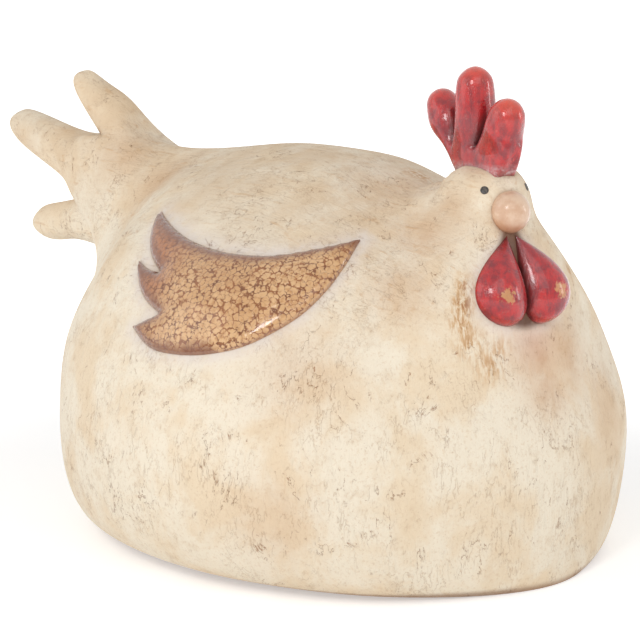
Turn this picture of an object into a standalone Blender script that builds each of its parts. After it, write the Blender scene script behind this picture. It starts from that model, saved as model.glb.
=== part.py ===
"""Seated rooster figure in glazed earthenware, cast hollow in one piece, at rest on its flat base."""

import math

import bpy
import numpy as np
from mathutils import Vector
from mathutils.bvhtree import BVHTree
from mathutils.geometry import delaunay_2d_cdt

# Wall of the casting and the round hole in the base that drained it
WALL = 0.007
DRAIN_RADIUS = 0.020
DRAIN_Y = 0.010

# Body sections: half width, reach to the chest and reach to the rump, at the foot and at the belly
FOOT_HALF_WIDTH = 0.102
FOOT_FRONT = 0.147
FOOT_REAR = 0.156
BELLY_HALF_WIDTH = 0.151
BELLY_FRONT = 0.149
BELLY_REAR = 0.168
BELLY_HEIGHT = 0.062
BACK_HEIGHT = 0.210
BACK_TOP_SHIFT = 0.022

# How full each quarter curve is: 2 is an ellipse and more is squarer
FOOT_FULLNESS = 2.35
FLANK_FULLNESS = 1.75
CHEST_FULLNESS = 2.05
RUMP_FULLNESS = 2.5

# Shoulder swelling beside the neck: how far it stands out, its distance below the top of the back
# and its reach up and down, then its direction in degrees from the chest and its reach round the body
SHOULDER_SWELL = 0.008
SHOULDER_DROP = 0.055
SHOULDER_REACH = 0.040
SHOULDER_DEGREES = 38
SHOULDER_SPREAD_DEGREES = 32

# Directions round the body in degrees from the chest
RING_DEGREES = (0, 36, 62, 90, 122, 154, 180)

# Body rings: heights over the ground, then distances below the top of the back
LOW_RINGS = (0.0, 0.008, 0.034, 0.070)
HIGH_RING_DROPS = (0.103, 0.070, 0.042, 0.018)

# How far below the top of the back the nape, its two sides and the saddle before the tail lie
NAPE_DROP = 0.010
NAPE_SIDE_DROP = 0.0125
SADDLE_DROP = 0.005

# Head axis: its distance behind the chest, its origin below the top of the back, and its turn to the right
HEAD_SETBACK = 0.052
HEAD_DROP = 0.040
HEAD_TURN_DEGREES = 14

# Head rings from neck to crown: half width, half length, then behind and over the head's origin,
# rise to the back, and share by which the ring narrows to the back
NECK_RING = (0.042, 0.036, 0.0045, 0.002, 0.020, 0.35)
BEAK_RING = (0.0275, 0.0225, 0.0, 0.0155, 0.006, 0.1)
EYE_RING = (0.0210, 0.0210, 0.0, 0.027, 0.0, 0.0)
CROWN_RING = (0.0150, 0.0150, 0.0, 0.036, 0.0, 0.0)
CROWN_TOP = 0.0395

# Comb in the plane of the head, behind and over its origin: the sunk foot, the web and its two crotches
COMB_FOOT_BACK = (0.0150, 0.0300)
COMB_FOOT_FRONT = (-0.0160, 0.0300)
COMB_FOOT_STEP = 0.010
COMB_BACK = (0.0290, 0.0430)
COMB_FRONT = (-0.0205, 0.0430)
COMB_HALF_THICKNESS = 0.0085
COMB_SETBACK = 0.004
BACK_CROTCH = (0.0225, 0.0495)
FRONT_CROTCH = (0.0040, 0.0490)

# Comb lobes: root and tip in the plane of the head, and the half width at the root and near the tip
BACK_LOBE = (0.0365, 0.0580, 0.0470, 0.0735, 0.0078, 0.0080)
MIDDLE_LOBE = (0.0135, 0.0600, 0.0128, 0.0890, 0.0080, 0.0080)
FRONT_LOBE = (-0.0150, 0.0575, -0.0195, 0.0738, 0.0088, 0.0082)

# Beak, a rounded ball that stands out of the face: place behind and over the head's origin, and half sizes
BEAK_PLACE = (-0.0232, 0.0179)
BEAK_RADII = (0.0100, 0.0102, 0.0098)

# Wattles: top and lowest point beside, behind and over the head's origin, for the left one
WATTLE_TOP = (0.0030, -0.0225, 0.0060)
WATTLE_LOW = (0.0136, -0.0332, -0.0385)
WATTLE_HALF_WIDTH = 0.0158
WATTLE_HALF_DEPTH = 0.0140
WATTLE_TURN = 0.25

# Eyes: place on the left of the head, radius of the dimple and its depth
EYE_PLACE = (0.0128, -0.0154, 0.0290)
EYE_RADIUS = 0.0021
EYE_DEPTH = 0.0010

# Tail in the body's middle plane, behind the rump and over the top of the back: the fan's two ends and crotches
FAN_LOW = (0.005, -0.084)
FAN_HIGH = (-0.014, -0.0080)
FAN_HALF_THICKNESS = 0.022
FAN_SETBACK = 0.014
LOW_CROTCH = (0.057, -0.045)
HIGH_CROTCH = (0.041, -0.009)

# Tail feathers: root and tip in the same plane, and the half height at the root and near the tip
LOW_FEATHER = (0.052, -0.060, 0.1025, -0.0668, 0.014, 0.011)
MIDDLE_FEATHER = (0.064, -0.022, 0.1222, -0.0047, 0.016, 0.012)
HIGH_FEATHER = (0.023, 0.001, 0.0595, 0.0265, 0.014, 0.010)

# Wing outline seen from the side, from the top tip forwards and round under to the tail, over the wing's origin
WING_DROP = 0.060
WING_OUTLINE = (
    (0.0655, 0.0270),
    (0.0370, 0.0205),
    (0.0160, 0.0170),
    (-0.0080, 0.0150),
    (-0.0330, 0.0155),
    (-0.0500, 0.0190),
    (-0.0640, 0.0235),
    (-0.0680, 0.0130),
    (-0.0680, 0.0010),
    (-0.0620, -0.0115),
    (-0.0470, -0.0235),
    (-0.0285, -0.0295),
    (-0.0085, -0.0318),
    (0.0110, -0.0310),
    (0.0300, -0.0240),
    (0.0205, -0.0195),
    (0.0130, -0.0155),
    (0.0290, -0.0110),
    (0.0420, -0.0040),
    (0.0520, 0.0050),
    (0.0400, 0.0025),
    (0.0280, 0.0020),
    (0.0440, 0.0085),
    (0.0570, 0.0170),
)
WING_TIPS = (0, 6, 14, 16, 19, 21)
WING_RISE = 0.0035
WING_EDGE_RISE = 0.0015
WING_EDGE_WIDTH = 0.0025
WING_ROOT_DEPTH = 0.0035
WING_SPACING = 0.011

# Rings of the body's hollow: heights over the ground, then distances below the top of the back
HOLLOW_LOW_RINGS = (0.0015, 0.014, 0.042, 0.080)
HOLLOW_RING_DROPS = (0.094, 0.060, 0.026)

# Hollows of head and tail that open into it: place in the head's or tail's plane, and half sizes
HEAD_HOLLOW = ((0.003, 0.002), (0.016, 0.016, 0.024))
TAIL_HOLLOW = ((0.009, -0.042), (0.012, 0.036, 0.026))

CAGE_STEPS = 40


def clear_scene():
    for obj in list(bpy.data.objects):
        bpy.data.objects.remove(obj)


def quarter(share, fullness):
    """Reach left on a quarter curve at this share of its height."""
    return max(0.0, 1.0 - share**fullness) ** (1.0 / fullness)


def section(z):
    """Half width, chest reach and rump reach of the body at a height."""
    foot = (FOOT_HALF_WIDTH, FOOT_FRONT, FOOT_REAR)
    belly = (BELLY_HALF_WIDTH, BELLY_FRONT, BELLY_REAR)
    if z < BELLY_HEIGHT:
        grown = quarter(1.0 - z / BELLY_HEIGHT, FOOT_FULLNESS)
        return [low + (wide - low) * grown for low, wide in zip(foot, belly)]
    share = min(1.0, (z - BELLY_HEIGHT) / (BACK_HEIGHT - BELLY_HEIGHT))
    fullness = (FLANK_FULLNESS, CHEST_FULLNESS, RUMP_FULLNESS)
    return [wide * quarter(share, power) for wide, power in zip(belly, fullness)]


def shoulder(degrees, z):
    """How far the shoulder stands out of the plain body in this direction and height."""
    turned = abs(min(degrees, 360 - degrees) - SHOULDER_DEGREES) / SHOULDER_SPREAD_DEGREES
    raised = abs(z - BACK_HEIGHT + SHOULDER_DROP) / SHOULDER_REACH
    return SHOULDER_SWELL * max(0.0, 1.0 - turned) * max(0.0, 1.0 - raised)


def body_point(degrees, z):
    half_width, front, rear = section(z)
    angle = math.radians(degrees)
    reach = front if math.cos(angle) > 0 else rear
    lean = max(0.0, (z - BELLY_HEIGHT) / (BACK_HEIGHT - BELLY_HEIGHT)) ** 1.5
    swell = shoulder(degrees, z)
    x = (half_width + swell) * math.sin(angle)
    y = BACK_TOP_SHIFT * lean - (reach + swell) * math.cos(angle)
    return (x, y, z)


def back_height(x):
    share = quarter(abs(x) / BELLY_HALF_WIDTH, FLANK_FULLNESS)
    return BELLY_HEIGHT + (BACK_HEIGHT - BELLY_HEIGHT) * share


def ring_heights(low_rings, drops):
    return [*low_rings, *(BACK_HEIGHT - drop for drop in drops)]


def on_axis(side, behind, over):
    """A place given from the head's origin, before the head is turned."""
    return (side, HEAD_SETBACK - BELLY_FRONT + behind, BACK_HEIGHT - HEAD_DROP + over)


def on_head(side, behind, over):
    """A place given from the head's origin, turned with the face about the head's axis."""
    turn = math.radians(HEAD_TURN_DEGREES)
    turned_side = side * math.cos(turn) + behind * math.sin(turn)
    turned_behind = behind * math.cos(turn) - side * math.sin(turn)
    return on_axis(turned_side, turned_behind, over)


def on_tail(side, behind, over):
    """A place given from the point over the rump at the height of the back."""
    return (side, BELLY_REAR + behind, BACK_HEIGHT + over)


def ellipse_ring(spec):
    half_width, half_length, behind, over, rise, narrowing = spec
    points = []
    for step in range(10):
        angle = math.radians(36 * step)
        back = -math.cos(angle)
        side = half_width * math.sin(angle) * (1.0 - narrowing * back)
        points.append(on_axis(side, behind + half_length * back, over + rise * back))
    return points


def finger_rings(spec):
    """Three six-point rings from the root of a feather or lobe to its rounded tip."""
    root_y, root_z, tip_y, tip_z, root_half, tip_half = spec
    length = math.hypot(tip_y - root_y, tip_z - root_z)
    out_y, out_z = (tip_y - root_y) / length, (tip_z - root_z) / length
    stations = (
        (0.0, root_half),
        (0.55 * length, tip_half * 1.06),
        (length - 0.30 * tip_half, tip_half * 0.66),
    )
    rings = []
    for distance, half in stations:
        ring = []
        for degrees in (210, 270, 330, 30, 90, 150):
            side = -half * math.cos(math.radians(degrees))
            up = half * math.sin(math.radians(degrees))
            y = root_y + out_y * distance - out_z * up
            z = root_z + out_z * distance + out_y * up
            ring.append((side, y, z))
        rings.append(ring)
    return rings


def fan_ring(low, high, crotches, half, setback, out):
    """Ten points round the web that the fingers grow from."""
    across = (-out[1], out[0])
    trim = 0.2 * half
    ends = []
    for (y, z), turn in ((low, 1), (high, -1)):
        inner = (y + across[0] * trim * turn, z + across[1] * trim * turn)
        ends.append(((0.0, y, z), inner))
    sides = [(y - out[0] * setback, z - out[1] * setback) for y, z in crotches]
    (low_end, low_in), (high_end, high_in) = ends
    return [
        (half * 0.7, *low_in),
        low_end,
        (-half * 0.7, *low_in),
        (-half * 0.9, *sides[0]),
        (-half * 0.9, *sides[1]),
        (-half * 0.7, *high_in),
        high_end,
        (half * 0.7, *high_in),
        (half * 0.9, *sides[1]),
        (half * 0.9, *sides[0]),
    ]


class Cage:
    """Points and faces of a form that is smoothed afterwards."""

    def __init__(self):
        self.points = []
        self.faces = []

    def add(self, points):
        first = len(self.points)
        self.points.extend(points)
        return list(range(first, len(self.points)))

    def strip(self, low, high):
        """Quads between two rings of the same count."""
        for i in range(len(low)):
            j = (i + 1) % len(low)
            self.faces.append((low[i], low[j], high[j], high[i]))

    def fingers(self, fan, crotches, specs, place):
        """Three fingers that grow from a ring of ten points."""
        first, second = self.add([place(0.0, *crotch) for crotch in crotches])
        bands = (
            [fan[0], fan[1], fan[2], fan[3], first, fan[9]],
            [fan[9], first, fan[3], fan[4], second, fan[8]],
            [fan[8], second, fan[4], fan[5], fan[6], fan[7]],
        )
        for ring, spec in zip(bands, specs):
            for points in finger_rings(spec):
                longer = self.add([place(*point) for point in points])
                self.strip(ring, longer)
                ring = longer
            self.faces.append((ring[0], ring[1], ring[4], ring[5]))
            self.faces.append((ring[1], ring[2], ring[3], ring[4]))

    def object(self, name):
        mesh = bpy.data.meshes.new(name)
        mesh.from_pydata([tuple(p) for p in self.points], [], self.faces)
        mesh.update()
        obj = bpy.data.objects.new(name, mesh)
        bpy.context.scene.collection.objects.link(obj)
        return obj


def body_rings(cage, heights, place, top_heights, gaps):
    """Rings of the body from the foot up, with no points inside the gaps."""
    degrees = list(RING_DEGREES) + [360 - d for d in RING_DEGREES[-2:0:-1]]
    rings = []
    for level, z in enumerate(heights):
        ring = []
        for s, direction in enumerate(degrees):
            height = top_heights.get(s, z) if z == heights[-1] else z
            hidden = gaps and level in (5, 6) and s in (0, 6)
            ring.append(-1 if hidden else cage.add([place(direction, height)])[0])
        rings.append(ring)
    for level in range(len(rings) - 1):
        for s in range(12):
            t = (s + 1) % 12
            if gaps and level in (4, 5, 6) and s in (11, 0, 5, 6):
                continue
            low, high = rings[level], rings[level + 1]
            cage.faces.append((low[s], low[t], high[t], high[s]))
    cage.faces.append(tuple(reversed(rings[0])))
    return rings


def close_back(cage, top, drop):
    """Closes the top ring with a ridge of three points across the back."""
    half = cage.points[top[3]][0] * 0.5
    ridge = cage.add([(x, BACK_TOP_SHIFT, back_height(x) - drop) for x in (-half, 0.0, half)])
    rows = (
        [top[10], top[11], top[0], top[1], top[2]],
        [top[9], *ridge, top[3]],
        [top[8], top[7], top[6], top[5], top[4]],
    )
    for near, far in zip(rows, rows[1:]):
        for i in range(4):
            cage.faces.append((near[i], near[i + 1], far[i + 1], far[i]))


def opening(rings, middle):
    """The ten body points round an opening of two sectors by three rows."""
    a, b = (middle - 1) % 12, (middle + 1) % 12
    low, mid, high, top = rings[4:8]
    upper = [low[b], mid[b], high[b], top[b], top[middle]]
    return [low[middle], *upper, top[a], high[a], mid[a], low[a]]


def add_head(cage, rings):
    ring = opening(rings, 0)
    for spec in (NECK_RING, BEAK_RING, EYE_RING, CROWN_RING):
        higher = cage.add(ellipse_ring(spec))
        cage.strip(ring, higher)
        ring = higher
    half = CROWN_RING[1] / 3
    front, back = cage.add([on_axis(0.0, -half, CROWN_TOP), on_axis(0.0, half, CROWN_TOP)])
    r = ring
    cage.faces.append((r[9], r[0], front, r[8]))
    cage.faces.append((r[0], r[1], r[2], front))
    cage.faces.append((r[8], front, back, r[7]))
    cage.faces.append((front, r[2], r[3], back))
    cage.faces.append((r[7], back, r[5], r[6]))
    cage.faces.append((back, r[3], r[4], r[5]))


def add_tail(cage, rings):
    root = opening(rings, 6)
    crotches = (LOW_CROTCH, HIGH_CROTCH)
    ring = fan_ring(FAN_LOW, FAN_HIGH, crotches, FAN_HALF_THICKNESS, FAN_SETBACK, (1.0, 0.0))
    fan = cage.add([on_tail(*point) for point in ring])
    cage.strip(root[-1:] + root[:-1], fan)
    cage.fingers(fan, crotches, (LOW_FEATHER, MIDDLE_FEATHER, HIGH_FEATHER), on_tail)


def smooth_through(obj, levels, creased=()):
    """Smooths a cage that is first moved until the smooth surface passes through its given points."""
    if creased:
        crease = obj.data.attributes.new("crease_edge", "FLOAT", "EDGE")
        for edge in obj.data.edges:
            if set(edge.vertices) <= set(creased):
                crease.data[edge.index].value = 1.0
    smooth = obj.modifiers.new("Smooth", "SUBSURF")
    smooth.levels = levels
    smooth.render_levels = levels
    count = len(obj.data.vertices)
    goal = np.empty(count * 3)
    obj.data.vertices.foreach_get("co", goal)
    cage = goal.copy()
    for _ in range(CAGE_STEPS):
        reached = evaluated_points(obj)
        cage += goal - reached[: count * 3]
        obj.data.vertices.foreach_set("co", cage)
        obj.data.update()


def evaluated_points(obj):
    bpy.context.view_layer.update()
    mesh = obj.evaluated_get(bpy.context.evaluated_depsgraph_get()).data
    points = np.empty(len(mesh.vertices) * 3)
    mesh.vertices.foreach_get("co", points)
    return points


def make_core():
    """Body, head and tail as one smooth skin."""
    cage = Cage()
    drops = {0: NAPE_DROP, 1: NAPE_SIDE_DROP, 11: NAPE_SIDE_DROP, 6: SADDLE_DROP}
    tops = {s: BACK_HEIGHT - drop for s, drop in drops.items()}
    rings = body_rings(cage, ring_heights(LOW_RINGS, HIGH_RING_DROPS), body_point, tops, True)
    close_back(cage, rings[-1], 0.0)
    add_head(cage, rings)
    add_tail(cage, rings)
    obj = cage.object("rooster")
    smooth_through(obj, 2, rings[0])
    return obj


def make_comb():
    cage = Cage()
    crotches = (BACK_CROTCH, FRONT_CROTCH)
    back, over = COMB_FOOT_BACK
    front = COMB_FOOT_FRONT[0]
    sunk = ((back - COMB_FOOT_STEP, over), (front + COMB_FOOT_STEP, over))
    out = (0.0, 1.0)
    foot = fan_ring(COMB_FOOT_BACK, COMB_FOOT_FRONT, sunk, COMB_HALF_THICKNESS, 0.0, out)
    web = fan_ring(COMB_BACK, COMB_FRONT, crotches, COMB_HALF_THICKNESS, COMB_SETBACK, out)
    foot = cage.add([on_head(*point) for point in foot])
    web = cage.add([on_head(*point) for point in web])
    cage.strip(foot, web)
    cage.fingers(web, crotches, (BACK_LOBE, MIDDLE_LOBE, FRONT_LOBE), on_head)
    cage.faces.append(tuple(reversed(foot)))
    obj = cage.object("comb")
    smooth_through(obj, 2)
    return obj


def ellipsoid(name, centre, radii, around=14, along=8):
    """A closed ball with its poles up and down."""
    cage = Cage()
    low = cage.add([(centre[0], centre[1], centre[2] - radii[2])])[0]
    rings = []
    for step in range(1, along):
        tilt = math.pi * step / along
        ring = []
        for turn in range(around):
            angle = 2 * math.pi * turn / around
            wide = math.sin(tilt)
            x = centre[0] + radii[0] * wide * math.cos(angle)
            y = centre[1] + radii[1] * wide * math.sin(angle)
            ring.append((x, y, centre[2] - radii[2] * math.cos(tilt)))
        rings.append(cage.add(ring))
    high = cage.add([(centre[0], centre[1], centre[2] + radii[2])])[0]
    close_loft(cage, low, rings, high)
    return cage.object(name)


def close_loft(cage, low, rings, high):
    around = len(rings[0])
    for below, above in zip(rings, rings[1:]):
        cage.strip(below, above)
    for i in range(around):
        j = (i + 1) % around
        cage.faces.append((low, rings[0][j], rings[0][i]))
        cage.faces.append((high, rings[-1][i], rings[-1][j]))


def wattle_centre(side, share):
    """A point on the bowed middle line of a wattle, from its top to its lowest point."""
    spread = 1.0 - (1.0 - share) ** 2
    beside = WATTLE_TOP[0] + (WATTLE_LOW[0] - WATTLE_TOP[0]) * spread
    behind = WATTLE_TOP[1] + (WATTLE_LOW[1] - WATTLE_TOP[1]) * share
    over = WATTLE_TOP[2] + (WATTLE_LOW[2] - WATTLE_TOP[2]) * share
    return Vector(on_head(beside * side, behind, over))


def make_wattle(name, side):
    """A drop that is pointed at the beak and round at the foot."""
    axis = wattle_centre(side, 1.0) - wattle_centre(side, 0.0)
    forward = Vector(on_head(WATTLE_TURN * side, -1.0, 0.0)) - Vector(on_head(0.0, 0.0, 0.0))
    across = axis.cross(forward).normalized()
    depth = across.cross(axis).normalized()
    cage = Cage()
    rings = []
    for share in (0.97, 0.90, 0.80, 0.68, 0.55, 0.40, 0.25, 0.11):
        full = 2.49 * share**0.9 * math.sqrt(1.0 - share)
        ring = []
        for turn in range(14):
            angle = 2 * math.pi * turn / 14
            point = wattle_centre(side, share)
            point += across * (WATTLE_HALF_WIDTH * full * math.cos(angle))
            point += depth * (WATTLE_HALF_DEPTH * full * math.sin(angle))
            ring.append(tuple(point))
        rings.append(cage.add(ring))
    low = cage.add([tuple(wattle_centre(side, 1.0))])[0]
    top = cage.add([tuple(wattle_centre(side, 0.0))])[0]
    close_loft(cage, low, rings, top)
    return cage.object(name)


def skin_tree(obj):
    graph = bpy.context.evaluated_depsgraph_get()
    return BVHTree.FromObject(obj, graph)


def make_eye_cutter(name, side, skin):
    place = Vector(on_head(EYE_PLACE[0] * side, *EYE_PLACE[1:]))
    hit, normal, _, _ = skin.find_nearest(place)
    radius = (EYE_RADIUS**2 + EYE_DEPTH**2) / (2 * EYE_DEPTH)
    centre = hit + normal * (radius - EYE_DEPTH)
    return ellipsoid(name, centre, (radius, radius, radius), 16, 12)


def inside(point, outline):
    """Whether a flat point lies within a closed outline."""
    hits = 0
    for (ay, az), (by, bz) in zip(outline, outline[1:] + outline[:1]):
        if (az > point[1]) != (bz > point[1]):
            cross = ay + (point[1] - az) * (by - ay) / (bz - az)
            hits += point[0] < cross
    return hits % 2 == 1


def edge_distance(point, outline):
    best = 1.0
    target = Vector(point)
    for a, b in zip(outline, outline[1:] + outline[:1]):
        start, end = Vector(a), Vector(b)
        along = end - start
        share = max(0.0, min(1.0, (target - start).dot(along) / along.length_squared))
        best = min(best, (target - start - along * share).length)
    return best


def rounded_outline():
    """The wing outline with a curved point added in every side, and its tips left sharp."""
    points = [Vector(p) for p in WING_OUTLINE]
    count = len(points)
    outline = []
    for i in range(count):
        here, there = points[i], points[(i + 1) % count]
        before = here if i in WING_TIPS else points[i - 1]
        after = there if (i + 1) % count in WING_TIPS else points[(i + 2) % count]
        middle = (here + there) * 0.5625 - (before + after) * 0.0625
        outline.extend([tuple(here), tuple(middle)])
    return outline


def wing_flat():
    """Outline, rim and field points of the wing seen from the side, with their triangles."""
    outline = rounded_outline()
    points = [Vector(p) for p in outline]
    edges = [(i, (i + 1) % len(outline)) for i in range(len(outline))]
    rim = []
    for i, here in enumerate(points):
        along = (points[(i + 1) % len(points)] - points[i - 1]).normalized()
        inward = Vector((-along.y, along.x)) * -WING_EDGE_WIDTH
        moved = here - inward
        if inside(moved, outline) and edge_distance(moved, outline) > 0.8 * WING_EDGE_WIDTH:
            rim.append(moved)
    field = []
    low_y = min(p.x for p in points)
    low_z = min(p.y for p in points)
    for i in range(20):
        for j in range(12):
            spot = Vector((low_y + (i + 0.5 * (j % 2)) * WING_SPACING, low_z + j * WING_SPACING * 0.866))
            if inside(spot, outline) and edge_distance(spot, outline) > 2.2 * WING_EDGE_WIDTH:
                field.append(spot)
    return points + rim + field, edges, len(points)


def make_wing(name, side, skin):
    """A plate that follows the flank and stands a little proud of it."""
    flat, edges, border = wing_flat()
    flat, edges, faces, _, _, _ = delaunay_2d_cdt(flat, edges, [], 1, 1e-6)
    outline = rounded_outline()
    cage = Cage()
    upper = []
    lower = []
    for spot in flat:
        start = Vector((side * 2 * BELLY_HALF_WIDTH, spot.x, spot.y + BACK_HEIGHT - WING_DROP))
        hit, normal, _, _ = skin.ray_cast(start, Vector((-side, 0.0, 0.0)))
        at_edge = edge_distance(spot, outline) < 1e-5
        rise = WING_EDGE_RISE if at_edge else WING_RISE
        upper.append(hit + normal * rise)
        lower.append(hit - normal * WING_ROOT_DEPTH)
    top = cage.add([tuple(p) for p in upper])
    bottom = cage.add([tuple(p) for p in lower])
    used = {}
    for a, b, c in faces:
        for start, end in ((a, b), (b, c), (c, a)):
            used[(start, end)] = used.get((start, end), 0) + 1
        cage.faces.append((top[a], top[b], top[c]))
        cage.faces.append((bottom[c], bottom[b], bottom[a]))
    for start, end in used:
        if (end, start) not in used:
            cage.faces.append((top[end], top[start], bottom[start], bottom[end]))
    if side < 0:
        cage.faces = [tuple(reversed(face)) for face in cage.faces]
    return cage.object(name)


def inner_point(degrees, z):
    """A body point moved inwards by the wall."""
    step = 0.0005
    here = Vector(body_point(degrees, z))
    above = Vector(body_point(degrees, min(z + step, BACK_HEIGHT)))
    below = Vector(body_point(degrees, max(z - step, 0.0)))
    axis = Vector((0.0, BACK_TOP_SHIFT, z))
    outwards = Vector((here.x, here.y - axis.y, 0.0)).normalized()
    slope = (above - below).dot(outwards) / (above.z - below.z)
    normal = (outwards - Vector((0.0, 0.0, slope))).normalized()
    return tuple(here - normal * WALL)


def make_hollow():
    """The space inside the body, a wall's thickness from the skin."""
    cage = Cage()
    heights = ring_heights(HOLLOW_LOW_RINGS, HOLLOW_RING_DROPS)
    rings = body_rings(cage, heights, inner_point, {}, False)
    close_back(cage, rings[-1], WALL)
    obj = cage.object("hollow")
    smooth_through(obj, 1, rings[0])
    return obj


def make_drain():
    cage = Cage()
    rings = []
    for z in (-0.010, 0.020):
        ring = []
        for turn in range(32):
            angle = 2 * math.pi * turn / 32
            ring.append((DRAIN_RADIUS * math.cos(angle), DRAIN_Y + DRAIN_RADIUS * math.sin(angle), z))
        rings.append(cage.add(ring))
    cage.strip(rings[0], rings[1])
    cage.faces.append(tuple(reversed(rings[0])))
    cage.faces.append(tuple(rings[1]))
    return cage.object("drain")


def join(base, operation, name, tools):
    """Adds or removes a group of shapes in one step."""
    group = bpy.data.collections.new(name)
    bpy.context.scene.collection.children.link(group)
    for tool in tools:
        group.objects.link(tool)
        tool.hide_render = True
        tool.display_type = "WIRE"
    change = base.modifiers.new(name, "BOOLEAN")
    change.operation = operation
    change.solver = "EXACT"
    change.operand_type = "COLLECTION"
    change.collection = group


def slip_clay():
    material = bpy.data.materials.new("slip_clay")
    material.use_nodes = True
    shader = material.node_tree.nodes["Principled BSDF"]
    shader.inputs["Base Color"].default_value = (0.72, 0.58, 0.42, 1.0)
    shader.inputs["Roughness"].default_value = 0.6
    return material


def centre_over_origin(figure):
    """Moves everything so that the middle of the figure's length lies over the origin."""
    length = evaluated_points(figure).reshape(-1, 3)[:, 1]
    middle = 0.5 * (float(length.min()) + float(length.max()))
    for obj in bpy.data.objects:
        obj.location.y = -middle


def main():
    clear_scene()
    figure = make_core()
    skin = skin_tree(figure)
    eyes = [make_eye_cutter("eye_cut_l", 1, skin), make_eye_cutter("eye_cut_r", -1, skin)]
    wings = [make_wing("wing_l", 1, skin), make_wing("wing_r", -1, skin)]
    wattles = [make_wattle("wattle_l", 1), make_wattle("wattle_r", -1)]
    beak = ellipsoid("beak", on_head(0.0, *BEAK_PLACE), BEAK_RADII)
    comb = make_comb()
    head_hollow = ellipsoid("head_hollow", on_axis(0.0, *HEAD_HOLLOW[0]), HEAD_HOLLOW[1])
    tail_hollow = ellipsoid("tail_hollow", on_tail(0.0, *TAIL_HOLLOW[0]), TAIL_HOLLOW[1])
    join(figure, "UNION", "reliefs", [*wings, *wattles, beak, comb])
    hollows = [make_hollow(), head_hollow, tail_hollow, make_drain()]
    join(figure, "DIFFERENCE", "hollows", [*eyes, *hollows])
    figure.data.materials.append(slip_clay())
    centre_over_origin(figure)


main()
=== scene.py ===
"""Looks of the seated rooster figure: slip-covered body, glazed wings, comb and wattles."""

import math

import bpy
import numpy as np
from mathutils import Matrix, Vector
from mathutils.bvhtree import BVHTree
from mathutils.geometry import delaunay_2d_cdt

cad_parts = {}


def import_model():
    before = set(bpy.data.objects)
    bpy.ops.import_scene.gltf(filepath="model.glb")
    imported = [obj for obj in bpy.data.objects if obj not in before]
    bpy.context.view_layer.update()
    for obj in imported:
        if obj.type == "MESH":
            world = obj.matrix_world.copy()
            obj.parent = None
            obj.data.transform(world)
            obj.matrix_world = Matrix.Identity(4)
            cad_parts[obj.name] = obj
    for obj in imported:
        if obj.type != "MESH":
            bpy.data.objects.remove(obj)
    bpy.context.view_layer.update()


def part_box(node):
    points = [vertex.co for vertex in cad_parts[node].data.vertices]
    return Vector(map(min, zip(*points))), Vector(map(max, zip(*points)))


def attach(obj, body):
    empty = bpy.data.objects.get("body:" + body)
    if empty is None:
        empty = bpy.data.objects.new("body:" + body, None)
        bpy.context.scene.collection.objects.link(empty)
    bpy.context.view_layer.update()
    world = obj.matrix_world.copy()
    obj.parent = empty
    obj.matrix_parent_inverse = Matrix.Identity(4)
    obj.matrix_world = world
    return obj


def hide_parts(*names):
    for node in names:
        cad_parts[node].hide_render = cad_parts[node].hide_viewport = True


# Camera: direction from the front towards the bird's right, height, distance, and what it faces
CAMERA_AZIMUTH = -45.0
CAMERA_ELEVATION = 10.6
CAMERA_DISTANCE = 1.25
CAMERA_TARGET = (0.0, 0.0231, 0.1137)
CAMERA_LENS = 127.84
SENSOR_WIDTH = 36.0

# Light: strength of the sky, then the name, place, size and power of each lamp, and their target
SKY_LIGHT = 0.505
LAMPS = (
    ("left", (-1.50, -0.67, 1.05), (0.38, 0.48), 7.5),
    ("front", (-0.8, -1.5, 1.5), (1.3, 1.3), 5.5),
    ("right", (1.10, -1.35, 0.50), (0.28, 0.6), 3.0),
    ("rear", (-1.40, 0.90, 0.80), (1.2, 1.2), 4.4),
)
LAMP_TARGET = (0.0, 0.0, 0.1)

WHITE = (1.0, 1.0, 1.0, 1.0)

# Floor: half its side, its gap under the foot, its surface, how its glow grows with distance, and
# the share of the glow that lights the figure
FLOOR_HALF = 6.0
FLOOR_GAP = 0.0002
FLOOR_SURFACE = {
    "Base Color": (0.80, 0.80, 0.80, 1.0),
    "Roughness": 0.9,
    "Specular IOR Level": 0.0,
    "Emission Color": WHITE,
}
FLOOR_GLOW = {"From Min": 0.20, "From Max": 0.65, "To Min": 0.42, "To Max": 1.0}
FLOOR_UNSEEN_GLOW = 0.6

# Wall of the casting and the round hole in the base that drained it
WALL = 0.007
DRAIN_RADIUS = 0.020
DRAIN_Y = 0.010
DRAIN_LEVELS = (-0.010, 0.020)
DRAIN_SIDES = 64

# Body sections: half width, reach to the chest and reach to the rump, at the foot and at the belly
FOOT_HALF_WIDTH = 0.102
FOOT_FRONT = 0.147
FOOT_REAR = 0.156
BELLY_HALF_WIDTH = 0.151
BELLY_FRONT = 0.149
BELLY_REAR = 0.168
BELLY_HEIGHT = 0.062
BACK_HEIGHT = 0.210
BACK_TOP_SHIFT = 0.022
FOOT_FULLNESS = 2.35
FLANK_FULLNESS = 1.75
CHEST_FULLNESS = 2.05
RUMP_FULLNESS = 2.5

# Shoulder swelling: how far it stands out, its drop below the back, its reach up and down, and
# where it is and how far it spreads round the body
SHOULDER_SWELL = 0.008
SHOULDER_DROP = 0.055
SHOULDER_REACH = 0.040
SHOULDER_DEGREES = 38
SHOULDER_SPREAD_DEGREES = 32

# Body rings
RING_DEGREES = (0, 36, 62, 90, 122, 154, 180)
LOW_RINGS = (0.0, 0.008, 0.034, 0.070)
HIGH_RING_DROPS = (0.103, 0.070, 0.042, 0.018)
NAPE_DROP = 0.010
NAPE_SIDE_DROP = 0.0125
SADDLE_DROP = 0.005

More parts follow.
